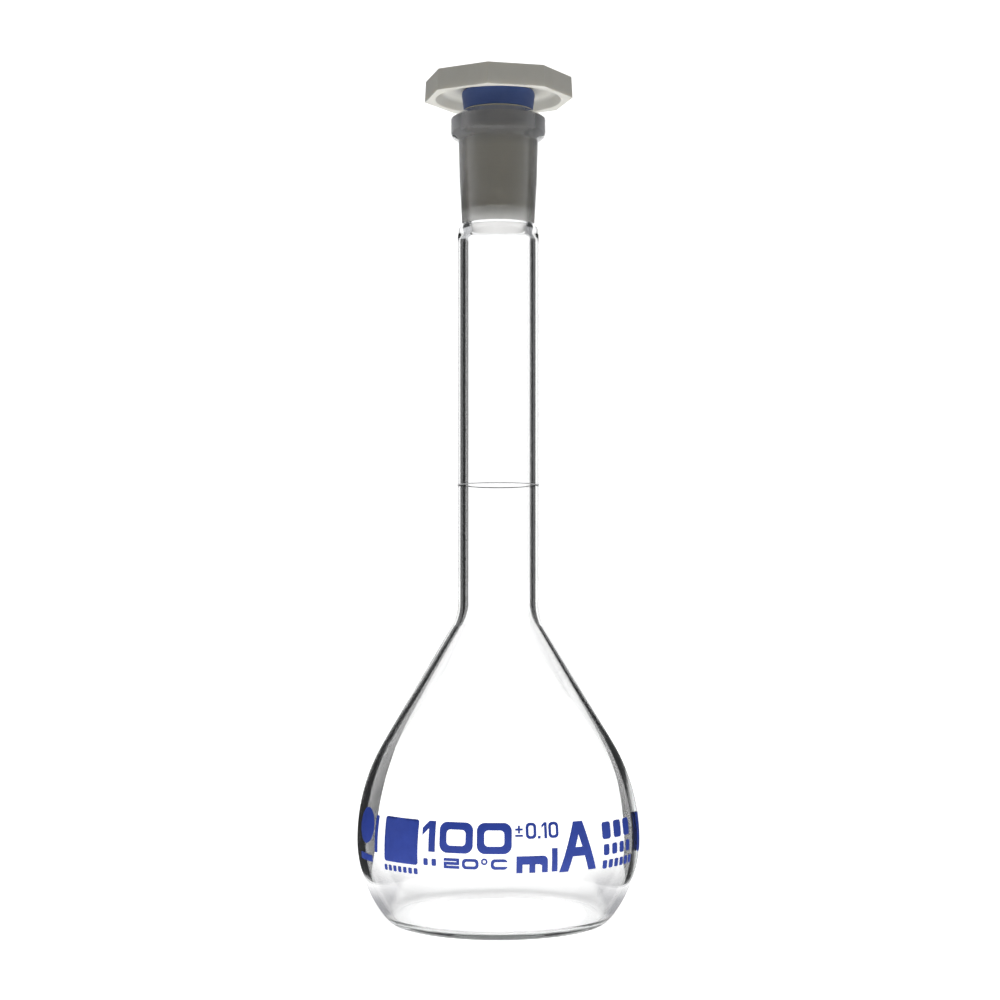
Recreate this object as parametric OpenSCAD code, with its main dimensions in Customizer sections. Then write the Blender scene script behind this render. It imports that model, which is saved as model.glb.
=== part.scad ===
// One-mark volumetric flask with a ground socket and a plastic stopper.
// Millimetres, +Z up. The origin is the centre of the base, on the surface
// that the flask stands on. The printed side faces -Y.

/* [Bulb] */
// Largest diameter of the bulb
bulb_d = 58.7; // [57:0.1:60]
// Height of the widest ring above the base
belt_z = 17.4; // [16.5:0.1:19]
// Radius of the curve below the widest ring
low_curve_r = 25.2; // [24:0.1:27]
// Radius of the curve above the widest ring
high_curve_r = 39.5; // [37:0.5:43]
// Half angle of the cone that leads up to the neck
cone_angle = 30.5; // [29:0.5:33]
// Radius of the heel between the base and the side
heel_r = 3; // [2:0.1:3.6]
// Thickness of the glass in the bulb
bulb_wall = 1.3; // [1.1:0.05:1.6]
// Thickness of the glass in the base
floor_wall = 1.8; // [1.6:0.1:2.4]
// Rise of the shallow hollow under the base
punt_h = 1; // [0.4:0.1:1.4]
// Inner diameter of the ring that the flask stands on
foot_inner_d = 35; // [30:0.5:38]

/* [Neck] */
// Outer diameter of the neck
neck_d = 17; // [16.6:0.1:17.4]
// Thickness of the glass in the neck
neck_wall = 1.6; // [1.4:0.1:1.8]
// Radius of the sweep from the cone into the neck
neck_sweep_r = 9; // [7:0.5:11]
// Height of the ring mark above the base
mark_z = 90.8; // [80:0.1:120]
// Width of the ring mark
mark_w = 0.3; // [0.25:0.05:0.6]

/* [Ground socket] */
// Height of the mouth above the base
mouth_z = 168.5; // [150:0.5:190]
// Diameter of the ground taper at the mouth
joint_d = 14.5; // [14.4:0.1:14.6]
// Length of the ground taper
joint_l = 23.4; // [21:0.1:25]
// Growth in diameter for each millimetre of taper
joint_taper = 0.1; // [0.09:0.005:0.11]
// Height of the shoulder between the neck and the socket
shoulder_h = 3; // [2.5:0.1:4]
// Thickness of the socket wall at its lower end
socket_wall = 1.5; // [1.3:0.1:1.8]
// Largest diameter of the bead round the mouth
bead_d = 19.8; // [19:0.1:21]
// Height from the underside of the bead to the mouth
bead_h = 6; // [5:0.1:7]

/* [Stopper] */
// Depth of the plug below the mouth
plug_depth = 20.4; // [16:0.1:22]
// Thickness of the hollow plug's wall
plug_wall = 1.2; // [1:0.1:1.6]
// Running clearance on the radius, in the socket and round the spigot
fit_gap = 0.04; // [0.02:0.01:0.08]
// Distance across two opposite corners of the head
head_corner_d = 31.2; // [28:0.1:34]
// Thickness of the head
head_h = 4.5; // [3.8:0.1:5]
// Turn of the head about the flask's axis
head_turn = -8; // [-22:1:22]
// Gap between the mouth and the underside of the head
head_gap = 2.6; // [2:0.1:4]
// Diameter of the round recess under the head
recess_d = 26; // [23:0.5:27]
// Depth of the round recess under the head
recess_h = 2.05; // [1.5:0.05:2.5]
// Diameter of the blue ring at its top
ring_top_d = 15.2; // [15:0.1:16]
// Rounding of the blue ring's top edge
ring_round = 0.9; // [0.4:0.1:1.2]

/* [Enamel] */
// Thickness of the fired enamel
enamel_h = 0.05; // [0.03:0.01:0.1]

/* [Hidden] */
$fn = 96;

// Largest angle between two points along an arc
arc_step = 3;
// Number of steps along the dome in the base, and along a quarter ellipse
dome_steps = 7;
quarter_steps = 6;
// Distance by which a cutting shape reaches past the solid it cuts
cut = 1;
// Heights between which the bulb carries print
print_low_z = 12;
print_high_z = 27;
// Height over which the neck's bore narrows to the taper's lower end
ledge_h = 1.1;
// Rounding of the inner edges of the heel
inner_heel_r = 2.5;
// Height above the taper's lower end at which the socket's outer wall bends
waist_h = 8.5;
// Growth of the outer radius up to that bend, and from there up to the bead
waist_growth = 0.5;
upper_growth = 0.25;
// Rounding under the bead, and the angle at which it starts
bead_round = 1.6;
bead_round_from = -55;
// Width of the flat rim round the mouth, and height of the slope outside it
lip_w = 0.4;
bead_slope_h = 1.4;
// Size of the small edges on the bead and on the rim
edge_w = 0.3;
lip_edge_h = 0.1;
// Clearance along the axis at each end of the blue ring
end_gap = 0.05;
// Diameter and length of the spigot that joins the plug to the head
spigot_d = 10;
spigot_in_head = 1.2;
// Height of the solid roof over the hollow in the plug
plug_roof = 2;
// Distance by which the plug's cone ends above the mouth
plug_above_mouth = 0.4;

bulb_r = bulb_d / 2;
neck_r = neck_d / 2;
bore_r = neck_r - neck_wall;
joint_r = joint_d / 2;
joint_small_r = (joint_d - joint_l * joint_taper) / 2;
joint_low_z = mouth_z - joint_l;
neck_top_z = joint_low_z - shoulder_h;
bead_r = bead_d / 2;

// Centres of the two arcs that meet at the widest ring
low_centre = [bulb_r - low_curve_r, belt_z];
high_centre = [bulb_r - high_curve_r, belt_z];

// Points along an arc, ends included
function arc(centre, r, from, to) =
    let (steps = max(2, ceil(abs(to - from) / arc_step)))
    [for (i = [0 : steps])
        let (a = from + (to - from) * i / steps)
        centre + r * [cos(a), sin(a)]];

function backwards(points) =
    [for (i = [len(points) - 1 : -1 : 0]) points[i]];

// Centre of the sweep that touches both the cone, moved in by inset, and a
// vertical line at line_r
function sweep_centre(inset, line_r, r) =
    [line_r + r,
     (high_centre.x * cos(cone_angle) + high_centre.y * sin(cone_angle)
      + high_curve_r - inset + r - (line_r + r) * cos(cone_angle))
     / sin(cone_angle)];

// Side of the bulb from the base up to the neck, moved in by inset
function side(inset, floor_z, heel, line_r) =
    let (heel_z = floor_z + heel,
         reach = low_curve_r - inset - heel,
         heel_x = low_centre.x + sqrt(pow(reach, 2) - pow(belt_z - heel_z, 2)),
         heel_end = atan2(heel_z - belt_z, heel_x - low_centre.x),
         sweep = neck_sweep_r + inset)
    concat(
        arc([heel_x, heel_z], heel, -90, heel_end),
        arc(low_centre, low_curve_r - inset, heel_end, 0),
        arc(high_centre, high_curve_r - inset, 0, cone_angle),
        arc(sweep_centre(inset, line_r, sweep), sweep, 180 + cone_angle, 180));

// Shallow dome from the axis out to rim_r, standing on height low_z
function dome(rim_r, rise, low_z) =
    [for (i = [0 : dome_steps])
        let (x = rim_r * i / dome_steps)
        [x, low_z + rise * (1 - pow(x / rim_r, 2))]];

outer_side = side(0, 0, heel_r, neck_r);
inner_side = side(bulb_wall, floor_wall, inner_heel_r, bore_r);
neck_base_z = ceil(max(outer_side[len(outer_side) - 1].y,
                       inner_side[len(inner_side) - 1].y));

// Quarter of an ellipse from the vertical at [r + w, z] to the level at [r, z + h]
function quarter(r, z, w, h) =
    [for (i = [0 : quarter_steps])
        let (a = 90 * i / quarter_steps)
        [r + w * cos(a), z + h * sin(a)]];

module bulb() {
    foot_r = foot_inner_d / 2;
    color([0.80, 0.88, 0.90, 0.45])
        rotate_extrude()
            polygon(concat(
                dome(foot_r, punt_h, 0),
                outer_side,
                [[neck_r, neck_base_z], [bore_r, neck_base_z]],
                backwards(inner_side),
                backwards(dome(foot_r, punt_h, floor_wall))));
}

module neck_tube() {
    color([0.80, 0.88, 0.90, 0.45])
        translate([0, 0, neck_base_z])
            difference() {
                cylinder(h = neck_top_z - neck_base_z, r = neck_r);
                translate([0, 0, -cut])
                    cylinder(h = neck_top_z - neck_base_z + 2 * cut, r = bore_r);
            }
}

module ground_socket() {
    low_r = joint_small_r + socket_wall;
    waist_r = low_r + waist_growth;
    bead_low_z = mouth_z - bead_h;
    bead_top_z = mouth_z - bead_slope_h;
    lip_r = joint_r + lip_w;
    outside = concat(
        quarter(low_r, neck_top_z, neck_r - low_r, shoulder_h),
        [[waist_r, joint_low_z + waist_h], [waist_r + upper_growth, bead_low_z]],
        arc([bead_r - bead_round, bead_low_z + bead_round + edge_w], bead_round, bead_round_from, 0),
        [[bead_r, bead_top_z - edge_w], [bead_r - edge_w, bead_top_z],
         [lip_r + edge_w, mouth_z - lip_edge_h], [lip_r, mouth_z]]);
    inside = concat(
        [[joint_r, mouth_z]],
        backwards(quarter(joint_small_r, joint_low_z - ledge_h, bore_r - joint_small_r, ledge_h)),
        [[bore_r, neck_top_z]]);
    color([0.86, 0.88, 0.87, 0.8])
        rotate_extrude()
            polygon(concat(outside, inside));
}

// Flat drawing, projected on to the bulb at an azimuth from the front, as a
// film of enamel on the glass
module on_bulb(azimuth, z) {
    rotate([0, 0, azimuth])
        translate([0, -bulb_r / 2, z])
            rotate([90, 0, 0])
                linear_extrude(bulb_r)
                    children();
}

// Points of a side within the printed zone
function band(points) =
    [for (p = points) if (p.y > print_low_z && p.y < print_high_z) p];

// Film on the bulb wherever the projected drawings meet it
module enamel() {
    color([0.20, 0.28, 0.62])
        intersection() {
            union() children();
            rotate_extrude()
                polygon(concat(
                    band(outer_side),
                    backwards(band(side(-enamel_h, 0, heel_r, neck_r)))));
        }
}

// Rectangle with round corners, centred
module plate(w, h, r) {
    square([w - 2 * r, h], center = true);
    square([w, h - 2 * r], center = true);
    for (x = [-1, 1], y = [-1, 1])
        translate([x * (w / 2 - r), y * (h / 2 - r)])
            circle(r, $fn = 24);
}

// Plain figures and letters on a box of width w and height h, with strokes s wide
module figure_0(w, h, s, corner) {
    difference() {
        plate(w, h, corner);
        plate(w - 2 * s, h - 2 * s, corner / 2);
    }
}

module figure_1(w, h, s) {
    flag_h = w - s;
    translate([w / 2 - s, -h / 2])
        square([s, h]);
    polygon([[w / 2 - s, h / 2], [-w / 2, h / 2 - flag_h],
             [-w / 2, h / 2 - flag_h - s], [w / 2 - s, h / 2 - s]]);
}

module figure_2(w, h, s) {
    for (y = [-h / 2, -s / 2, h / 2 - s])
        translate([-w / 2, y])
            square([w, s]);
    translate([w / 2 - s, 0])
        square([s, h / 2]);
    translate([-w / 2, -h / 2])
        square([s, h / 2]);
}

module letter_c(w, h, s, corner) {
    difference() {
        figure_0(w, h, s, corner);
        translate([0, -h / 2 + s])
            square([w, h - 2 * s]);
    }
}

module letter_m(w, h, s) {
    corner = s * 0.8;
    for (x = [-w / 2, -s / 2, w / 2 - s])
        translate([x, -h / 2])
            square([s, h - corner]);
    translate([-w / 2, 0])
        square([w - corner, h / 2]);
    translate([w / 2 - corner, h / 2 - corner])
        circle(corner, $fn = 24);
}

module letter_a(w, h, s) {
    half = w / 2;
    low_y = -h / 2;
    tip = s * 0.6;
    leg = s * 1.1;
    bar_y = -h * 0.2;
    bar_top_y = bar_y + s;
    peak_y = h / 2 - s * 1.4;
    // Half width of the letter at a height above its middle
    function spread(y) = half - (half - tip) * (y / h + 0.5);
    difference() {
        polygon([[-half, low_y], [-tip, h / 2], [tip, h / 2], [half, low_y]]);
        polygon([[leg - half, low_y - cut], [leg - half, low_y],
                 [leg - spread(bar_y), bar_y], [spread(bar_y) - leg, bar_y],
                 [half - leg, low_y], [half - leg, low_y - cut]]);
        polygon([[leg - spread(bar_top_y), bar_top_y], [0, peak_y],
                 [spread(bar_top_y) - leg, bar_top_y]]);
    }
}

// Row of plain blocks in place of a printed word, spaced by an angle
module blocks(count, azimuth, z, w, h, pitch) {
    for (i = [0 : count - 1])
        on_bulb(azimuth + pitch * i, z)
            plate(w, h, min(w, h) * 0.25);
}

module ring_mark() {
    color([0.45, 0.47, 0.50])
        translate([0, 0, mark_z - mark_w / 2])
            difference() {
                cylinder(h = mark_w, r = neck_r + enamel_h);
                translate([0, 0, -cut])
                    cylinder(h = mark_w + 2 * cut, r = neck_r);
            }
}

module writing_patch() {
    enamel()
        on_bulb(-41.6, 19.9)
            plate(9.1, 8.9, 0.6);
}

module capacity_print() {
    digit_h = 6;
    stroke = 1.45;
    middle_z = 21.3;
    enamel() {
        on_bulb(-27.8, middle_z)
            figure_1(2.9, digit_h, stroke);
        for (azimuth = [-16.4, -1.5])
            on_bulb(azimuth, middle_z)
                figure_0(6.8, digit_h, stroke, 1.6);
    }
}

module unit_print() {
    stroke = 1.2;
    enamel() {
        on_bulb(13.1, 16.2)
            letter_m(6.3, 3.3, stroke);
        on_bulb(22.1, 16.9)
            square([stroke, 4.6], center = true);
    }
}

module tolerance_print() {
    digit_h = 3.1;
    digit_z = 22.7;
    stroke = 0.55;
    sign_w = 1.5;
    sign_stroke = 0.4;
    enamel() {
        on_bulb(8, digit_z) {
            for (y = [0.3, -0.9])
                translate([0, y])
                    square([sign_w, sign_stroke], center = true);
            translate([0, 0.3])
                square([sign_stroke, sign_w], center = true);
        }
        for (azimuth = [12.7, 21.8])
            on_bulb(azimuth, digit_z)
                figure_0(2.1, digit_h, stroke, 0.8);
        on_bulb(15.9, digit_z - (digit_h - stroke) / 2)
            square(stroke, center = true);
        on_bulb(18, digit_z)
            figure_1(1.1, digit_h, stroke);
    }
}

module temperature_print() {
    digit_h = 2.05;
    digit_z = 16.3;
    stroke = 0.58;
    corner = 0.8;
    enamel() {
        blocks(2, -29, digit_z, 1, 1.4, 3.6);
        on_bulb(-18.1, digit_z)
            figure_2(3.2, digit_h, stroke);
        on_bulb(-10.7, digit_z)
            figure_0(3.3, digit_h, stroke, corner);
        on_bulb(-5.3, digit_z + digit_h / 4)
            difference() {
                circle(0.65, $fn = 24);
                circle(0.3, $fn = 24);
            }
        on_bulb(0.4, digit_z)
            letter_c(3.3, digit_h, stroke, corner);
    }
}

module class_print() {
    enamel()
        on_bulb(32.7, 19.2)
            letter_a(8.8, 9.7, 1.8);
}

module standard_bars() {
    enamel() {
        blocks(3, 47.5, 21.6, 2.6, 3.4, 7.2);
        blocks(4, 47.2, 17.8, 1.7, 2.2, 5.2);
        blocks(6, 46.4, 14.9, 1.3, 1.7, 3.7);
    }
}

module glass_type_bar() {
    enamel()
        blocks(7, -50, 14.2, 0.9, 1.2, 2.7);
}

module maker_marks() {
    enamel() {
        on_bulb(-66, 21.6)
            circle(3.6, $fn = 48);
        on_bulb(-66, 15.2)
            plate(6.4, 1.4, 0.35);
        on_bulb(-56.6, 20.4)
            plate(1.1, 7.4, 0.3);
        on_bulb(80, 19.4)
            plate(4, 8, 0.6);
    }
}

// Radius of the plug's cone at a height
function plug_r(z) = joint_r - (mouth_z - z) * joint_taper / 2 - fit_gap;

plug_low_z = mouth_z - plug_depth;
plug_top_z = mouth_z + plug_above_mouth;
head_low_z = mouth_z + head_gap;
recess_z = head_low_z + recess_h;

module stopper_head() {
    color([0.90, 0.90, 0.86])
        rotate([0, 0, head_turn])
            difference() {
                translate([0, 0, head_low_z])
                    cylinder(h = head_h, d = head_corner_d, $fn = 8);
                translate([0, 0, head_low_z - cut])
                    cylinder(h = recess_h + cut, d = recess_d);
                translate([0, 0, recess_z - cut])
                    cylinder(h = spigot_in_head + cut, d = spigot_d);
            }
}

module colour_ring() {
    inner_r = spigot_d / 2 + fit_gap;
    low_z = plug_top_z + end_gap;
    high_z = recess_z - end_gap;
    top_r = ring_top_d / 2;
    color([0.16, 0.26, 0.60])
        rotate_extrude()
            polygon(concat(
                [[inner_r, low_z], [plug_r(low_z), low_z]],
                arc([top_r - ring_round, high_z - ring_round], ring_round, 0, 90),
                [[inner_r, high_z]]));
}

module stopper_plug() {
    spigot_r = spigot_d / 2;
    hollow_z = plug_top_z - plug_roof;
    color([0.72, 0.71, 0.66])
        rotate_extrude()
            polygon([
                [plug_r(plug_low_z) - plug_wall, plug_low_z],
                [plug_r(plug_low_z), plug_low_z],
                [plug_r(plug_top_z), plug_top_z],
                [spigot_r, plug_top_z],
                [spigot_r, recess_z + spigot_in_head],
                [0, recess_z + spigot_in_head],
                [0, hollow_z],
                [plug_r(hollow_z) - plug_wall, hollow_z]]);
}

bulb();
neck_tube();
ground_socket();
ring_mark();
writing_patch();
capacity_print();
unit_print();
tolerance_print();
temperature_print();
class_print();
standard_bars();
glass_type_bar();
maker_marks();
stopper_head();
colour_ring();
stopper_plug();
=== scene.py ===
import math

import bmesh
import bpy
from mathutils import Matrix, Vector, noise


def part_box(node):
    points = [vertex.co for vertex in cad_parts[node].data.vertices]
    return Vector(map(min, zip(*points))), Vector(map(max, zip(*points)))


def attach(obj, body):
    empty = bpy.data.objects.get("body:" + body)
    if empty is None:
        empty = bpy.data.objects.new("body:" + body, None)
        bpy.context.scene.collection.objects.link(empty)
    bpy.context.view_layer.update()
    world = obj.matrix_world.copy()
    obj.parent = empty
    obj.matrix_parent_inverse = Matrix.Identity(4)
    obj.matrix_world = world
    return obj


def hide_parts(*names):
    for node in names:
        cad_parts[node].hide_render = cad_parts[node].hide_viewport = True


# Looks of a one-mark volumetric flask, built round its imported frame.
# Lengths are in millimetres until a mesh is made; MM turns them into metres.
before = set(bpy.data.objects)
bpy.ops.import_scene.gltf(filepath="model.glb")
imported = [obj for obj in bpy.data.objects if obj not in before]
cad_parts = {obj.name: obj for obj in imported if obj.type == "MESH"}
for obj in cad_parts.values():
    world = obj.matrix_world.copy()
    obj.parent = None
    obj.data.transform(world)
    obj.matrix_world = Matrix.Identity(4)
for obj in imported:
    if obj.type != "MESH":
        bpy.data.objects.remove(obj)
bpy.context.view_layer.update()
MM = 0.001


def corners(node):
    """Lowest and highest corner of a node, in millimetres."""
    low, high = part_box(node)
    return low / MM, high / MM


# ---- Sizes taken from the frame ----
mark_low, mark_high = corners("ring_mark")
head_low, head_high = corners("stopper_head")
ring_low, ring_high = corners("colour_ring")
plug_low, plug_high = corners("stopper_plug")

bulb_r = corners("bulb")[1].x
neck_r = corners("neck_tube")[1].x
neck_top_z = corners("neck_tube")[1].z
bead_r = corners("ground_socket")[1].x
mouth_z = corners("ground_socket")[1].z

# ---- Bulb and neck ----
belt_z = 17.4
low_curve_r = 25.2
high_curve_r = 39.5
cone_angle = 30.5
heel_r = 3.0
inner_heel_r = 2.5
bulb_wall = 1.3
floor_wall = 1.8
punt_h = 1.0
foot_inner_r = 17.5
neck_sweep_r = 9.0
neck_wall = 1.6
bore_r = neck_r - neck_wall
low_centre = Vector((bulb_r - low_curve_r, belt_z))
high_centre = Vector((bulb_r - high_curve_r, belt_z))

# ---- Ground joint, a 1 in 10 cone ----
joint_r = 7.25
joint_l = 23.4
joint_slope = 0.05
fit_gap = 0.04
throat_l = 3.4
joint_low_z = mouth_z - joint_l
joint_small_r = joint_r - joint_l * joint_slope

# ---- Spigot of the plug, its hole in the head, and the bore of the blue ring round it ----
spigot_r = 5.0
spigot_hole_r = 5.02
spigot_hole_l = 1.22
ring_bore_r = 5.04

# Points round the glass and round the moulded parts
AROUND = 192
AROUND_PLASTIC = 128
# Steps along arcs and fillets, and the angle above which an edge stays sharp, in degrees
ARC_STEP = 1.5
FILLET_STEP = 10
SHARP = 35


# ---------------------------------------------------------------- outlines
def turned(vector, angle):
    """Flat vector turned by an angle in radians."""
    return Vector((vector.x * math.cos(angle) - vector.y * math.sin(angle),
                   vector.x * math.sin(angle) + vector.y * math.cos(angle)))


def arc(centre, radius, start, end, step=ARC_STEP):
    """Points along an arc, with its angles in degrees."""
    count = max(2, math.ceil(abs(end - start) / step))
    angles = [math.radians(start + (end - start) * i / count) for i in range(count + 1)]
    return [Vector((centre[0] + radius * math.cos(a), centre[1] + radius * math.sin(a)))
            for a in angles]


def rounded(points):
    """Line through points of (radius, height, fillet), each corner rounded by its fillet."""
    line = []
    for i, (x, z, fillet) in enumerate(points):
        corner = Vector((x, z))
        if not fillet:
            line.append(corner)
            continue
        before = (Vector(points[i - 1][:2]) - corner).normalized()
        after = (Vector(points[(i + 1) % len(points)][:2]) - corner).normalized()
        half = before.angle(after) / 2
        centre = corner + (before + after).normalized() * fillet / math.sin(half)
        start = corner + before * fillet / math.tan(half) - centre
        sweep = math.pi - 2 * half
        if before.x * after.y - before.y * after.x > 0:
            sweep = -sweep
        count = max(2, math.ceil(math.degrees(abs(sweep)) / FILLET_STEP))
        line += [centre + turned(start, sweep * k / count) for k in range(count + 1)]
    return line


def divided(line, longest):
    """The same line with points added so that no step is longer than longest."""
    out = [line[0]]
    for a, b in zip(line, line[1:]):
        count = max(1, math.ceil((b - a).length / longest))
        out += [a.lerp(b, k / count) for k in range(1, count + 1)]
    return out


# ---------------------------------------------------------------- meshes
def finished(name, mesh, materials, sharp=SHARP):
    """Object from a mesh in millimetres, smooth except across edges sharper than sharp."""
    mesh.transform(Matrix.Scale(MM, 4))
    mesh.update()
    for polygon in mesh.polygons:
        polygon.use_smooth = True
    mesh.set_sharp_from_angle(angle=math.radians(sharp))
    for material in materials:
        mesh.materials.append(material)
    piece = bpy.data.objects.new(name, mesh)
    bpy.context.scene.collection.objects.link(piece)
    return piece


def lofted(name, rings, materials, closed=False, sharp=SHARP):
    """Surface through rings of equal count, or of one point for a pole. closed joins its ends."""
    vertices, starts = [], []
    for ring in rings:
        starts.append(len(vertices))
        vertices += ring
    faces = []
    pairs = list(zip(range(len(rings)), range(1, len(rings))))
    if closed:
        pairs.append((len(rings) - 1, 0))
    for a, b in pairs:
        count = max(len(rings[a]), len(rings[b]))
        for k in range(count):
            n = (k + 1) % count
            lower = [starts[a]] if len(rings[a]) == 1 else [starts[a] + k, starts[a] + n]
            upper = [starts[b]] if len(rings[b]) == 1 else [starts[b] + n, starts[b] + k]
            faces.append(lower + upper)
    mesh = bpy.data.meshes.new(name)
    mesh.from_pydata([tuple(v) for v in vertices], [], faces)
    return finished(name, mesh, materials, sharp)


def pole(height):
    """Ring of one point, on the axis."""
    return [Vector((0, 0, height))]


def on_ring(radius, angle, height):
    """Point of a level ring, at an angle in radians."""
    return Vector((radius * math.cos(angle), radius * math.sin(angle), height))


def circle(radius, height, around=AROUND):
    """Level ring, or a pole where its radius is nothing."""
    if radius < 1e-6:
        return pole(height)
    return [on_ring(radius, 2 * math.pi * k / around, height) for k in range(around)]


def lathe(name, outline, material, closed=False):
    """Surface of revolution from an outline that runs anticlockwise, with the axis on its left."""
    rings = [circle(p.x, p.y, AROUND_PLASTIC) for p in outline]
    return lofted(name, rings, [material], closed)


# ---------------------------------------------------------------- materials
class Tree:
    """Short way to build one material's nodes."""

    def __init__(self, name):
        self.material = bpy.data.materials.new(name)
        self.material.use_nodes = True
        self.tree = self.material.node_tree
        self.tree.nodes.clear()
        self.output = self.add("ShaderNodeOutputMaterial")
        self.place = self.add("ShaderNodeTexCoord").outputs["Object"]

    def add(self, kind, **values):
        """New node with some of its settings."""
        node = self.tree.nodes.new(kind)
        for key, value in values.items():
            setattr(node, key, value)
        return node

    def join(self, source, target):
        """Link from an output to an input."""
        self.tree.links.new(source, target)

    def noise(self, size, detail=3, roughness=0.55, stretch=(1, 1, 1)):
        """Noise whose features are about size millimetres across."""
        mapping = self.add("ShaderNodeMapping")
        mapping.inputs["Scale"].default_value = stretch
        self.join(self.place, mapping.inputs["Vector"])
        node = self.add("ShaderNodeTexNoise")
        node.inputs["Scale"].default_value = 1 / (size * MM)
        node.inputs["Detail"].default_value = detail
        node.inputs["Roughness"].default_value = roughness
        self.join(mapping.outputs["Vector"], node.inputs["Vector"])
        return node.outputs["Fac"]

    def ramp(self, source, low, high, at=(0.3, 0.7)):
        """Colour ramp from low to high between two positions."""
        node = self.add("ShaderNodeValToRGB")
        for element, position, colour in zip(node.color_ramp.elements, at, (low, high)):
            element.position = position
            element.color = (*colour, 1)
        self.join(source, node.inputs["Fac"])
        return node.outputs["Color"]

    def grey(self, source, low, high, at=(0.3, 0.7)):
        """Number from low to high as source goes from at[0] to at[1]."""
        node = self.add("ShaderNodeMapRange")
        node.inputs["From Min"].default_value = at[0]
        node.inputs["From Max"].default_value = at[1]
        node.inputs["To Min"].default_value = low
        node.inputs["To Max"].default_value = high
        self.join(source, node.inputs["Value"])
        return node.outputs["Result"]

    def maths(self, operation, a, b):
        """Result of a Math node on two numbers or outputs."""
        node = self.add("ShaderNodeMath", operation=operation)
        for socket, value in zip(node.inputs, (a, b)):
            if isinstance(value, (int, float)):
                socket.default_value = value
            else:
                self.join(value, socket)
        return node.outputs["Value"]

    def mixed(self, share, a, b):
        """Colour that goes from a to b as share goes from 0 to 1."""
        node = self.add("ShaderNodeMix", data_type="RGBA")
        self.join(share, node.inputs["Factor"])
        colours = [socket for socket in node.inputs if socket.type == "RGBA"]
        for socket, value in zip(colours, (a, b)):
            if isinstance(value, tuple):
                socket.default_value = (*value, 1)
            else:
                self.join(value, socket)
        return [socket for socket in node.outputs if socket.type == "RGBA"][0]

    def bump(self, height, depth, after=None):
        """Bump of depth millimetres, on top of another bump."""
        node = self.add("ShaderNodeBump")
        node.inputs["Distance"].default_value = depth * MM
        self.join(height, node.inputs["Height"])
        if after is not None:
            self.join(after, node.inputs["Normal"])
        return node.outputs["Normal"]

    def principled(self, **values):
        """Principled shader on the surface. A space in a socket's name is written _ here."""
        node = self.add("ShaderNodeBsdfPrincipled")
        for key, value in values.items():
            socket = node.inputs[key.replace("_", " ")]
            if isinstance(value, bpy.types.NodeSocket):
                self.join(value, socket)
            elif isinstance(value, tuple) and socket.type == "RGBA":
                socket.default_value = (*value, 1)
            else:
                socket.default_value = value
        self.join(node.outputs["BSDF"], self.output.inputs["Surface"])
        return node


GLASS_IOR = 1.474
PLASTIC_IOR = 1.49
ENAMEL_IOR = 1.5


def clear_glass():
    """Borosilicate glass: almost no colour, faint draw lines along it, finger marks in its gloss."""
    t = Tree("clear_glass")
    draw_lines = t.noise(size=2.2, detail=2, stretch=(1, 1, 0.05))
    marks = t.noise(size=9, detail=4)
    bump = t.bump(draw_lines, depth=0.0022)
    t.principled(Base_Color=(1, 1, 1), IOR=GLASS_IOR, Transmission_Weight=1.0,
                 Roughness=t.grey(marks, 0.0, 0.02, at=(0.5, 0.75)), Normal=bump)
    absorb = t.add("ShaderNodeVolumeAbsorption")
    absorb.inputs["Color"].default_value = (0.80, 0.90, 0.88, 1)
    absorb.inputs["Density"].default_value = 8
    t.join(absorb.outputs["Volume"], t.output.inputs["Volume"])
    return t.material


def ground_surface():
    """Ground inner face of the joint: fine grit, grinding lines round it, and painted shade under the
    head, greyer and bluer towards the mouth.
    """
    shade_from, shade_full = mouth_z - 8, mouth_z - 3
    t = Tree("ground_glass")
    grit = t.noise(size=0.12, detail=4)
    lines = t.noise(size=0.5, detail=2, stretch=(0.1, 0.1, 1))
    bump = t.bump(grit, depth=0.02, after=t.bump(lines, depth=0.02))
    height = t.add("ShaderNodeSeparateXYZ")
    t.join(t.place, height.inputs["Vector"])
    # Painted shade: the colour turns greyer and bluer over the top few millimetres, for the shadow of the
    # stopper's head on the mouth.
    head_shade = t.grey(height.outputs["Z"], 0, 1, at=(shade_from * MM, shade_full * MM))
    colour = t.mixed(head_shade, (0.94, 0.93, 0.91), (0.52, 0.53, 0.60))
    t.principled(Base_Color=colour, IOR=GLASS_IOR, Transmission_Weight=0.85,
                 Roughness=t.grey(lines, 0.60, 0.74), Normal=bump)
    return t.material


def moulded_plastic(name, light, dark, roughness, subsurface):
    """Moulded polypropylene: cloudy colour, orange-peel surface, fine scratches."""
    t = Tree(name)
    cloud = t.noise(size=6, detail=3)
    scuffs = t.noise(size=0.8, detail=5, roughness=0.7, stretch=(1, 0.12, 0.5))
    colour = t.mixed(t.grey(scuffs, 0, 0.25, at=(0.58, 0.72)), t.ramp(cloud, dark, light), dark)
    peel = t.bump(t.noise(size=0.25, detail=3), depth=0.012)
    bump = t.bump(scuffs, depth=0.01, after=peel)
    gloss = t.grey(cloud, roughness - 0.06, roughness + 0.08)
    t.principled(Base_Color=colour, Roughness=gloss, IOR=PLASTIC_IOR, Specular_IOR_Level=0.2,
                 Subsurface_Weight=subsurface, Subsurface_Scale=0.002,
                 Subsurface_Radius=(1.0, 0.9, 0.75), Normal=bump)
    return t.material


def enamel(name, light, dark):
    """Screen-printed enamel fired on to glass: slightly uneven ink with pinholes and a soft gloss."""
    t = Tree(name)
    ink = t.noise(size=1.6, detail=4)
    mesh_marks = t.noise(size=0.18, detail=2)
    bump = t.bump(mesh_marks, depth=0.01)
    t.principled(Base_Color=t.ramp(ink, dark, light), Roughness=t.grey(mesh_marks, 0.38, 0.55),
                 IOR=ENAMEL_IOR, Specular_IOR_Level=0.35, Normal=bump)
    return t.material


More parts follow.
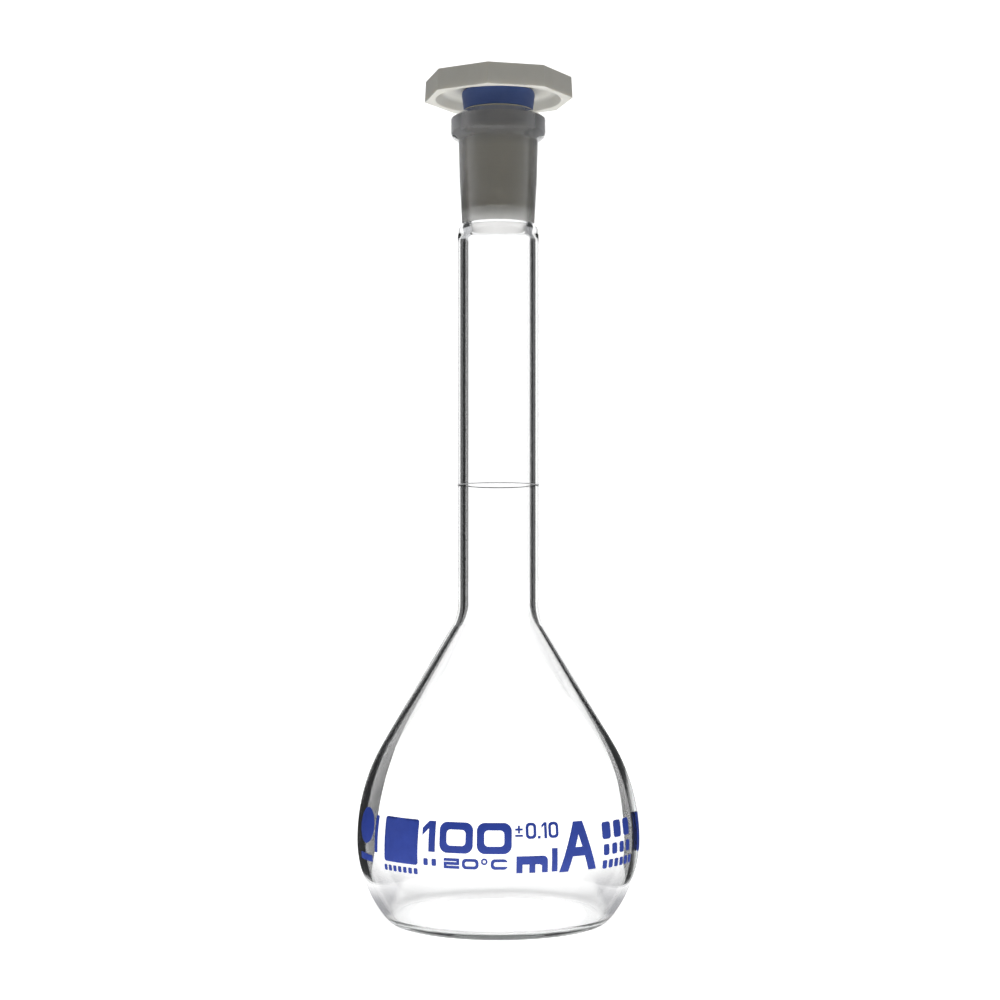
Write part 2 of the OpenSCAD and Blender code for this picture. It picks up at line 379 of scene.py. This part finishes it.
# ---------------------------------------------------------------- camera
# Camera: place in metres, focal length and sensor in millimetres, share of the frame it is shifted by
CAMERA_PLACE = (0.00035, -0.415, 0.0773)
CAMERA_LENS = 71.6
CAMERA_SENSOR = 36
CAMERA_SHIFT = 0.05


def studio_camera():
    """Level camera in front of the printed side, a little below the flask's mid-height."""
    camera = bpy.data.cameras.new("camera")
    camera.sensor_width = CAMERA_SENSOR
    camera.lens = CAMERA_LENS
    camera.shift_y = CAMERA_SHIFT
    camera.clip_start = 0.01
    holder = bpy.data.objects.new("camera", camera)
    holder.location = CAMERA_PLACE
    holder.rotation_euler = (math.radians(90), 0, 0)
    bpy.context.scene.collection.objects.link(holder)
    bpy.context.scene.camera = holder
    return holder


# ---------------------------------------------------------------- glass
def sweep_centre(inset, line_r, radius):
    """Centre of the sweep that touches the cone, moved in by inset, and the vertical line at line_r."""
    across = math.cos(math.radians(cone_angle))
    up = math.sin(math.radians(cone_angle))
    reach = high_centre.x * across + high_centre.y * up + high_curve_r - inset + radius
    return Vector((line_r + radius, (reach - (line_r + radius) * across) / up))


def bulb_side(inset, floor_z, heel, line_r):
    """Side of the bulb from its base up to the neck, moved in by inset."""
    heel_z = floor_z + heel
    reach = low_curve_r - inset - heel
    heel_x = low_centre.x + math.sqrt(reach ** 2 - (belt_z - heel_z) ** 2)
    heel_end = math.degrees(math.atan2(heel_z - belt_z, heel_x - low_centre.x))
    sweep = neck_sweep_r + inset
    return (arc((heel_x, heel_z), heel, -90, heel_end, step=4)
            + arc(low_centre, low_curve_r - inset, heel_end, 0)[1:]
            + arc(high_centre, high_curve_r - inset, 0, cone_angle)[1:]
            + divided(arc(sweep_centre(inset, line_r, sweep), sweep, 180 + cone_angle, 180), 3))


def dome(rise, low_z):
    """Shallow dome from the axis out to the foot ring."""
    steps = 16
    return [Vector((foot_inner_r * i / steps, low_z + rise * (1 - (i / steps) ** 2)))
            for i in range(steps + 1)]


def quarter(radius, low_z, width, height):
    """Quarter of an ellipse, from the vertical at its foot to the level at its top."""
    angles = [math.radians(6 * i) for i in range(16)]
    return [Vector((radius + width * math.cos(a), low_z + height * math.sin(a))) for a in angles]


def socket_outline():
    """Socket from the neck over its shoulder and bead, and down the ground cone to the bore."""
    low_r = joint_small_r + 1.5
    bead_low_z = mouth_z - 6
    bead_curve = 1.6
    bead_chamfer_z = mouth_z - 1.4
    lip = 0.45
    shoulder = quarter(low_r, neck_top_z, neck_r - low_r, joint_low_z - neck_top_z)
    sides = [Vector((low_r + 0.5, joint_low_z + 8.5)), Vector((low_r + 0.75, bead_low_z))]
    bead = arc((bead_r - bead_curve, bead_low_z + 1.9), bead_curve, -55, 0, step=5)
    mouth = rounded([(bead_r, mouth_z - 2, 0), (bead_r, bead_chamfer_z, 0.35),
                     (joint_r + lip, mouth_z, 0.4), (joint_r, mouth_z, 0.2),
                     (joint_small_r, joint_low_z, 0)])[:-1]
    return shoulder + sides + bead + mouth + throat()


def throat():
    """Soft S-curve from the ground cone in to the bore."""
    steps = 20
    line = []
    for i in range(steps + 1):
        share = 1 - math.cos(math.pi * i / steps)
        line.append(Vector((joint_small_r + (bore_r - joint_small_r) * share / 2,
                            joint_low_z - throat_l * i / steps)))
    return line


def wobble(point):
    """Uneven thickness of blown glass: strong in the bulb, almost none in the drawn neck."""
    blown_z, fade_l = 45, 20
    in_bulb, in_neck = 0.06, 0.004
    across, along = 11, 16
    share = 1 if point.z < blown_z else max(0.0, 1 - (point.z - blown_z) / fade_l)
    size = in_bulb * share + in_neck
    return size * noise.noise(Vector((point.x / across, point.y / across, point.z / along)))


def blown(ring):
    """Ring of the inner surface, made uneven below the socket and away from the axis."""
    if ring[0].z < neck_top_z:
        for v in ring:
            radial = Vector((v.x, v.y, 0))
            if radial.length > 1:
                v += radial.normalized() * wobble(v)
    return ring


def flask_glass(materials):
    """Bulb, neck and socket fused into one wall of glass. Its second material is for the ground cone."""
    outside = divided(dome(punt_h, 0) + bulb_side(0, 0, heel_r, neck_r) + socket_outline(), 6)
    inside = (bulb_side(bulb_wall, floor_wall, inner_heel_r, bore_r)[::-1]
              + dome(punt_h, floor_wall)[::-1])
    rings = [circle(p.x, p.y) for p in outside]
    rings += [blown(circle(p.x, p.y)) for p in divided([outside[-1]] + inside, 4)[1:]]
    piece = lofted("flask_glass", rings, materials, sharp=50)
    for polygon in piece.data.polygons:
        radial = Vector((polygon.center.x, polygon.center.y, 0)).normalized()
        if polygon.center.z > joint_low_z * MM and radial.dot(polygon.normal) < -0.7:
            polygon.material_index = 1
    return piece


# ---------------------------------------------------------------- enamel
def bulb_radius(z):
    """Outer radius of the bulb at a height in the printed zone."""
    centre, radius = (low_centre, low_curve_r) if z < belt_z else (high_centre, high_curve_r)
    return centre.x + math.sqrt(radius ** 2 - (z - belt_z) ** 2)


def print_film(node, material):
    """Film of enamel with the outline of a node, laid on the bulb's true curve and sunk in a little.

    Points that meet are merged before the long edges are cut, and again once they lie on the curve.
    """
    film, sunk = 0.045, 0.012
    merge, longest = 0.0005, 0.9
    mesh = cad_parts[node].data.copy()
    mesh.materials.clear()
    work = bmesh.new()
    work.from_mesh(mesh)
    bmesh.ops.scale(work, vec=(1 / MM,) * 3, verts=work.verts)
    bmesh.ops.remove_doubles(work, verts=work.verts, dist=merge)
    for _ in range(2):
        long_edges = [e for e in work.edges if e.calc_length() > longest]
        bmesh.ops.subdivide_edges(work, edges=long_edges, cuts=1, use_grid_fill=True)
        bmesh.ops.triangulate(work, faces=work.faces)
    for v in work.verts:
        across = math.hypot(v.co.x, v.co.y)
        radius = bulb_radius(v.co.z)
        target = radius + film if across > radius + film / 2 else radius - sunk
        v.co.x *= target / across
        v.co.y *= target / across
    bmesh.ops.remove_doubles(work, verts=work.verts, dist=merge)
    bmesh.ops.recalc_face_normals(work, faces=work.faces)
    work.to_mesh(mesh)
    work.free()
    return finished(node + "_film", mesh, [material], sharp=30)


def ring_mark_band(material):
    """Thin capacity line round the neck, slightly crowned, and a little higher at the front.

    Its section is in pairs: how far it stands proud, in millimetres, and the share of its width.
    """
    line_w, tilt = 0.2, 0.27
    middle = (mark_high.z + mark_low.z) / 2
    section = [(-0.02, -0.5), (0.03, -0.4), (0.045, 0), (0.03, 0.4), (-0.02, 0.5)]
    rings = [circle(neck_r + proud, middle + share * line_w) for proud, share in section]
    for ring in rings:
        for v in ring:
            v.z -= tilt * v.y / neck_r
    return lofted("ring_mark_band", rings, [material], closed=True, sharp=80)


# ---------------------------------------------------------------- stopper
# Head: turn of its first corner, half the angle of a side, and the play left inside the CAD box
HEAD_TURN = -8
HALF_SIDE = math.radians(22.5)
HEAD_PLAY = 0.02
# Round of the head's corners, how much of it is lost per millimetre of inset, and the least left
CORNER_ROUND = 0.35
CORNER_LOSS = 0.6
CORNER_LEAST = 0.12
CORNER_POINTS = 7
SIDE_POINTS = 6


def octagon(corner_r, inset, height):
    """Ring of an octagon with round corners, moved in by inset."""
    fillet = max(CORNER_ROUND - inset * CORNER_LOSS, CORNER_LEAST)
    centre_r = corner_r - inset / math.cos(HALF_SIDE) - fillet / math.cos(HALF_SIDE)
    points = []
    for side in range(8):
        angle = math.radians(HEAD_TURN + 45 * side)
        centre = on_ring(centre_r, angle, height)
        for k in range(CORNER_POINTS):
            share = 2 * k / (CORNER_POINTS - 1) - 1
            points.append(centre + fillet * on_ring(1, angle + HALF_SIDE * share, 0))
        start = points[-1].copy()
        end = on_ring(centre_r, angle + math.radians(45), height)
        end += fillet * on_ring(1, angle + HALF_SIDE, 0)
        points += [start.lerp(end, k / (SIDE_POINTS + 1)) for k in range(1, SIDE_POINTS + 1)]
    return points


def round_ring(radius, height, like):
    """Circle whose points lie at the same bearings as those of another ring."""
    lift = Vector((0, 0, height))
    return [Vector((radius * p.x, radius * p.y, 0)) / math.hypot(p.x, p.y) + lift for p in like]


def head_top():
    """Outline of the head's top, from the axis out: a gate scar in a shallow dimple."""
    top = head_high.z
    scar, floor, land = top - 0.28, top - 0.45, top - 0.02
    return rounded([(0, scar, 0), (0.7, scar, 0.1), (0.85, floor, 0.05), (1.9, floor, 0.2),
                    (2.5, land, 0.3), (9, land, 0), (12.5, top, 0)])


def head_under():
    """Outline of the head's underside, from the rim in: the recess and the hole for the spigot."""
    low = head_low.z
    recess_r, ceiling = 13.0, low + 2.05
    hole_top = ceiling + spigot_hole_l
    line = rounded([(recess_r + 0.8, low, 0), (recess_r + 0.1, low, 0.3),
                    (recess_r - 1.2, ceiling, 1.5), (spigot_hole_r, ceiling, 0.1),
                    (spigot_hole_r, hole_top, 0.05), (0, hole_top, 0)])
    return line[1:]


def head_sides(corner_r):
    """Rings down the head's side: top edge, drafted flat and bottom edge."""
    top, low = head_high.z, head_low.z
    top_round, low_round, draft = 0.25, 0.12, 0.2
    rings = []
    for k in range(7):
        a = math.radians(15 * k)
        inset = draft + top_round * (1 - math.sin(a))
        rings.append(octagon(corner_r, inset, top - top_round * (1 - math.cos(a))))
    for k in range(1, 6):
        share = k / 6
        height = top - top_round + (low + low_round - top + top_round) * share
        rings.append(octagon(corner_r, draft * (1 - share), height))
    for k in range(6):
        a = math.radians(18 * k)
        inset = low_round * (1 - math.cos(a))
        rings.append(octagon(corner_r, inset, low + low_round * (1 - math.sin(a))))
    return rings


def stopper_head(material):
    """Eight-sided head, its top and underside joined to its sides by rings of the same count."""
    corner_r = head_high.x / math.cos(math.radians(HEAD_TURN)) - HEAD_PLAY
    like = octagon(corner_r, 0, 0)
    over, under = head_top(), head_under()
    rings = [pole(over[0].y)] + [round_ring(p.x, p.y, like) for p in over[1:]]
    rings += head_sides(corner_r)
    rings += [round_ring(p.x, p.y, like) for p in under[:-1]] + [pole(under[-1].y)]
    return lofted("stopper_head_moulding", rings[::-1], [material], sharp=45)


def cone_r(z):
    """Radius of the stopper's cone at a height."""
    return joint_r - (mouth_z - z) * joint_slope - fit_gap


def colour_ring(material):
    """Blue ring between the head and the joint, with its top edge rounded."""
    low_r = joint_r + (ring_low.z - mouth_z) * joint_slope - fit_gap
    outline = rounded([(ring_bore_r, ring_low.z, 0.1), (low_r, ring_low.z, 0.15),
                       (low_r + 0.1, ring_low.z + 1.1, 3), (ring_high.x, ring_high.z - 1.2, 4),
                       (ring_high.x, ring_high.z, 0.85), (ring_bore_r, ring_high.z, 0.1)])
    return lathe("colour_ring_moulding", outline, material, closed=True)


def stopper_plug(material):
    """Hollow ground plug with a rounded rim and a spigot up into the head."""
    wall = 1.2
    top = mouth_z + 0.4
    hollow_z = top - 2
    outline = rounded([(0, hollow_z, 0), (cone_r(hollow_z) - wall, hollow_z, 0.8),
                       (cone_r(plug_low.z) - wall, plug_low.z, 0.4), (cone_r(plug_low.z), plug_low.z, 0.2),
                       (cone_r(top), top, 0.1), (spigot_r, top, 0.1), (spigot_r, plug_high.z, 0.2),
                       (0, plug_high.z, 0)])
    return lathe("stopper_plug_moulding", divided(outline, 4), material)


# ---------------------------------------------------------------- studio
# Surroundings: brightness as seen, overhead, and where they light the object. The overhead part
# starts at this share of the way up, and blends in over the next one.
BACKDROP = 1.22
CEILING = 0.25
CEILING_FROM = 0.5
CEILING_BLEND = 0.15
AMBIENT = 0.165
# Light table: how it lights the object and how far out in metres, and its brightness as seen
TABLE_GLOW = 3.15
TABLE_GLOW_FAR = 0.05
TABLE_GLOW_R = 0.13
TABLE_SEEN = 0.92
TABLE_SIZE = 4
# Radius in millimetres, and the table's glow there where it is seen through glass. The dip in between is a
# painted shadow ring round the foot of the flask.
TABLE_SHADOW_THROUGH_GLASS = ((17.3, 1.2), (18.8, 0.62), (22, 0.54), (30, 0.60), (40, 0.78),
                       (60, 0.88), (90, 1.15))
# Soft box overhead: place, aim and size in metres
TOP_LIGHT_PLACE = (0.06, -0.1, 0.9)
TOP_LIGHT_AIM = (0, 0, 0.1)
TOP_LIGHT_SIZE = 0.6
TOP_LIGHT_RADIANCE = 1.9
# Cards beside the flask: name, side, how far out the inner edge is, how far behind the flask it
# stands, and the brightness of its pale upper part. CARD_SIZE is how far each reaches out, down,
# up, and along the table towards the camera.
DARK_CARD = 0.028
SIDE_CARDS = (("left", -1, 40, 90, 0.55), ("right", 1, 38, 61, 0.30))
CARD_SIZE = (420, 260, 260, 85)
# The dark part ends in line with a point this far above the foot of the socket
SIGHT_LIFT = 0.8
# Height at which the lower cards lie above the table
TABLE_CARD_Z = 0.7
# Drape: how far in front of the flask it hangs, half its height, its hem's height from the camera's
# level, the edges of its folds from its middle, how bright each fold is, and how bright the hem is
DRAPE_FRONT = 455
DRAPE_TALL = 420
HEM = -35
DRAPE_EDGES = (0, 500, 750, 1100, 1800, 3600)
DRAPE_LEVELS = (0.24, 0.34, 0.48, 0.68, 0.95)
HEM_LEVEL = 0.40
# Painted shade on the table beside the foot, as a film: where it starts, is full, starts to fade and ends,
# half its length, and its tint
SHADE_ACROSS = (23.2, 25, 30, 38)
SHADE_L = 50
SHADE_TINT = (0.50, 0.50, 0.52)


def studio_world():
    """White surroundings, dimmer where they light the object than where they are seen."""
    world = bpy.data.worlds.new("studio")
    bpy.context.scene.world = world
    world.use_nodes = True
    world.cycles.sampling_method = "NONE"
    tree = world.node_tree
    background = tree.nodes["Background"]
    path = tree.nodes.new("ShaderNodeLightPath")
    place = tree.nodes.new("ShaderNodeTexCoord")
    split = tree.nodes.new("ShaderNodeSeparateXYZ")
    tree.links.new(place.outputs["Generated"], split.inputs["Vector"])
    height = tree.nodes.new("ShaderNodeMapRange")
    height.inputs["From Min"].default_value = CEILING_FROM
    height.inputs["From Max"].default_value = CEILING_FROM + CEILING_BLEND
    height.inputs["To Min"].default_value = BACKDROP
    height.inputs["To Max"].default_value = CEILING
    tree.links.new(split.outputs["Z"], height.inputs["Value"])
    level = tree.nodes.new("ShaderNodeMapRange")
    level.inputs["From Max"].default_value = 1
    level.inputs["To Max"].default_value = AMBIENT
    tree.links.new(height.outputs["Result"], level.inputs["To Min"])
    tree.links.new(path.outputs["Diffuse Depth"], level.inputs["Value"])
    tree.links.new(level.outputs["Result"], background.inputs["Strength"])
    background.inputs["Color"].default_value = (1, 1, 1, 1)


def through_glass(t, distance):
    """The table's glow by its distance from the axis, where it is seen through glass, with its painted
    shadow ring round the foot.
    """
    glow = TABLE_SHADOW_THROUGH_GLASS[0][1]
    for (start, low), (end, high) in zip(TABLE_SHADOW_THROUGH_GLASS, TABLE_SHADOW_THROUGH_GLASS[1:]):
        glow = t.maths("ADD", glow, t.grey(distance, 0, high - low, at=(start * MM, end * MM)))
    return glow


def studio_floor():
    """Pale light table. Through glass, a painted shadow shows on it as a soft grey ring round the foot of
    the flask.
    """
    t = Tree("light_table")
    path = t.add("ShaderNodeLightPath")
    length = t.add("ShaderNodeVectorMath", operation="LENGTH")
    t.join(t.place, length.inputs[0])
    distance = length.outputs["Value"]
    glow = t.grey(distance, TABLE_GLOW, TABLE_GLOW_FAR, at=(TABLE_GLOW_R * 0.7, TABLE_GLOW_R * 1.3))
    through = through_glass(t, distance)
    bounced = t.maths("MINIMUM", path.outputs["Diffuse Depth"], 1)
    direct = t.maths("MULTIPLY", path.outputs["Is Camera Ray"], TABLE_SEEN)
    # Rays other than the camera's see the glow with the painted shadow ring in it.
    indirect = t.maths("MULTIPLY", t.maths("SUBTRACT", 1, path.outputs["Is Camera Ray"]), through)
    seen = t.maths("MULTIPLY", t.maths("SUBTRACT", 1, bounced), t.maths("ADD", direct, indirect))
    lit = t.maths("MULTIPLY", glow, bounced)
    mottle = t.grey(t.noise(size=30, detail=3), 0.78, 0.82)
    colour = t.ramp(mottle, (0.78, 0.78, 0.78), (0.82, 0.82, 0.82), at=(0.7, 0.9))
    t.principled(Base_Color=colour, Roughness=0.7, Specular_IOR_Level=0.1,
                 Emission_Color=(1, 1, 1), Emission_Strength=t.maths("ADD", seen, lit))
    t.material.cycles.emission_sampling = "NONE"
    floor = lofted("floor", [pole(0), circle(TABLE_SIZE / MM, 0, 96)], [t.material])
    floor.location.z = -0.00005


def soft_light(name, place, aim, size, radiance):
    """Square soft box of an even radiance. It lights, and no view or reflection shows it."""
    light = bpy.data.lights.new(name, "AREA")
    light.shape = "SQUARE"
    light.size = size
    light.energy = radiance * math.pi * size ** 2
    holder = bpy.data.objects.new(name, light)
    holder.location = place
    holder.rotation_euler = (Vector(aim) - Vector(place)).to_track_quat("-Z", "Y").to_euler()
    holder.visible_camera = False
    holder.visible_glossy = False
    holder.visible_transmission = False
    bpy.context.scene.collection.objects.link(holder)


def card_stand(name, height, camera, level):
    """Stand on the flask's axis. It turns with the camera, or only about the upright if level."""
    stand = bpy.data.objects.new(name, None)
    stand.location.z = height * MM
    turn = stand.constraints.new("COPY_ROTATION")
    turn.target = camera
    turn.use_x = not level
    turn.use_y = not level
    bpy.context.scene.collection.objects.link(stand)
    return stand


def stood(name, corners_mm, stand, t):
    """Card on one of the stands. Only reflections and what is seen through glass show it."""
    mesh = bpy.data.meshes.new(name)
    mesh.from_pydata([tuple(c) for c in corners_mm], [], [list(range(len(corners_mm)))])
    card = finished(name, mesh, [t.material])
    card.visible_camera = False
    card.visible_diffuse = False
    card.visible_shadow = False
    card.visible_volume_scatter = False
    card.parent = stand


def flag(name, corners_mm, stand, strength):
    """Card of an even brightness."""
    t = Tree(name)
    emission = t.add("ShaderNodeEmission")
    emission.inputs["Color"].default_value = (0.96, 0.97, 1, 1)
    emission.inputs["Strength"].default_value = strength
    t.join(emission.outputs["Emission"], t.output.inputs["Surface"])
    t.material.cycles.emission_sampling = "NONE"
    stood(name, corners_mm, stand, t)


def shade_film(name, side, stand):
    """Painted shade on the table beside the foot: a tinted film, seen only in reflections and through
    glass, that fades to clear at its edges.
    """
    t = Tree(name)
    split = t.add("ShaderNodeSeparateXYZ")
    t.join(t.place, split.inputs["Vector"])
    across = t.maths("ABSOLUTE", split.outputs["X"], 0)
    along = t.maths("ABSOLUTE", split.outputs["Y"], 0)
    start, full, fall, end = [x * MM for x in SHADE_ACROSS]
    rise = t.grey(across, 0, 1, at=(start, full))
    share = t.maths("MULTIPLY", rise, t.grey(across, 1, 0, at=(fall, end)))
    share = t.maths("MULTIPLY", share, t.grey(along, 1, 0, at=(SHADE_L * 0.25 * MM, SHADE_L * MM)))
    film = t.add("ShaderNodeBsdfTransparent")
    t.join(t.mixed(share, (1, 1, 1), SHADE_TINT), film.inputs["Color"])
    t.join(film.outputs["BSDF"], t.output.inputs["Surface"])
    inner, outer = side * SHADE_ACROSS[0], side * SHADE_ACROSS[3]
    stood(name, [(inner, -SHADE_L, 0), (inner, SHADE_L, 0), (outer, SHADE_L, 0), (outer, -SHADE_L, 0)],
          stand, t)


def drape(stand):
    """Folds that hang on the camera's side, from the middle out, and the hem under them."""
    low, high, front = HEM, DRAPE_TALL, DRAPE_FRONT
    for number, (start, end, strength) in enumerate(zip(DRAPE_EDGES, DRAPE_EDGES[1:], DRAPE_LEVELS)):
        for name, side in (("left", -1), ("right", 1)):
            inner, outer = side * start, side * end
            flag("drape_%s_%d" % (name, number),
                 [(inner, low, front), (inner, high, front), (outer, high, front), (outer, low, front)],
                 stand, strength)
    wide, foot = DRAPE_EDGES[-1], -DRAPE_TALL
    flag("drape_hem", [(-wide, foot, front), (-wide, low, front), (wide, low, front), (wide, foot, front)],
         stand, HEM_LEVEL)


def glass_flags(camera):
    """Cards behind and beside the flask that draw its dark edges, and a drape on the camera's side.

    Measures are from the flask's axis at the camera's height: to the right, up, and towards the camera.
    The dark upright cards end where a line of sight past the foot of the socket meets them, and paler
    ones carry on above, beside the ground joint. The flat cards lie just above the table, and stay
    level when the camera looks down.
    """
    reach, deep, high, near = CARD_SIZE
    eye = camera.location / MM
    facing = card_stand("card_stand", eye.z, camera, level=False)
    table = card_stand("table_card_stand", TABLE_CARD_Z, camera, level=True)
    slope = (joint_low_z + SIGHT_LIFT - eye.z) / -eye.y
    for name, side, edge, behind, pale in SIDE_CARDS:
        inner, outer = side * edge, side * reach
        tops = [slope * (math.hypot(x, behind) - eye.y) for x in (edge, reach)]
        flag("flag_" + name, [(inner, -deep, -behind), (inner, tops[0], -behind),
                              (outer, tops[1], -behind), (outer, -deep, -behind)], facing, DARK_CARD)
        flag("pale_flag_" + name, [(inner, tops[0], -behind), (inner, high, -behind),
                                   (outer, high, -behind), (outer, tops[1], -behind)], facing, pale)
        flag("table_flag_" + name, [(inner, -near, 0), (inner, behind, 0),
                                    (outer, behind, 0), (outer, -near, 0)], table, DARK_CARD)
        # Painted shade beside the foot, seen through the heel of the flask.
        shade_film("shade_" + name, side, table)
    drape(facing)


# ---------------------------------------------------------------- assembly
def placed(piece, body, slot, *nodes):
    """Piece that rides on a body and stands for some CAD nodes, which it hides. slot is not used."""
    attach(piece, body)
    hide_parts(*nodes)


# Plain colours, and light paths long enough for several walls of glass
scene = bpy.context.scene
scene.view_settings.view_transform = "Standard"
scene.cycles.max_bounces = 32
scene.cycles.transmission_bounces = 32
scene.cycles.glossy_bounces = 24
scene.cycles.diffuse_bounces = 5
scene.cycles.transparent_max_bounces = 16
scene.cycles.sample_clamp_indirect = 4

camera = studio_camera()
glass = clear_glass()
ground = ground_surface()
blue = enamel("blue_enamel", (0.013, 0.038, 0.27), (0.009, 0.030, 0.225))
grey = enamel("mark_enamel", (0.60, 0.60, 0.60), (0.40, 0.40, 0.42))
white_plastic = moulded_plastic("white_plastic", (0.655, 0.645, 0.595), (0.61, 0.60, 0.545),
                                roughness=0.52, subsurface=0.35)
blue_plastic = moulded_plastic("blue_plastic", (0.085, 0.135, 0.35), (0.065, 0.11, 0.30),
                               roughness=0.42, subsurface=0.1)
# The plug's colour is darker and yellower than the head's: partly the tint of natural polypropylene,
# partly painted shade for the shadow the plug lies in inside the joint.
natural_plastic = moulded_plastic("natural_plastic", (0.54, 0.51, 0.42), (0.48, 0.45, 0.36),
                                  roughness=0.48, subsurface=0.3)

placed(flask_glass([glass, ground]), "flask", "clear_glass", "bulb", "neck_tube", "ground_socket")
placed(ring_mark_band(grey), "flask", "mark_enamel", "ring_mark")
for printed in ("writing_patch", "capacity_print", "unit_print", "tolerance_print", "temperature_print",
                "class_print", "standard_bars", "glass_type_bar", "maker_marks"):
    placed(print_film(printed, blue), "flask", "blue_enamel", printed)
placed(stopper_head(white_plastic), "stopper", "white_plastic", "stopper_head")
placed(stopper_plug(natural_plastic), "stopper", "natural_plastic", "stopper_plug")
placed(colour_ring(blue_plastic), "ring", "blue_plastic", "colour_ring")

studio_world()
studio_floor()
soft_light("top_light", TOP_LIGHT_PLACE, TOP_LIGHT_AIM, TOP_LIGHT_SIZE, TOP_LIGHT_RADIANCE)
glass_flags(camera)
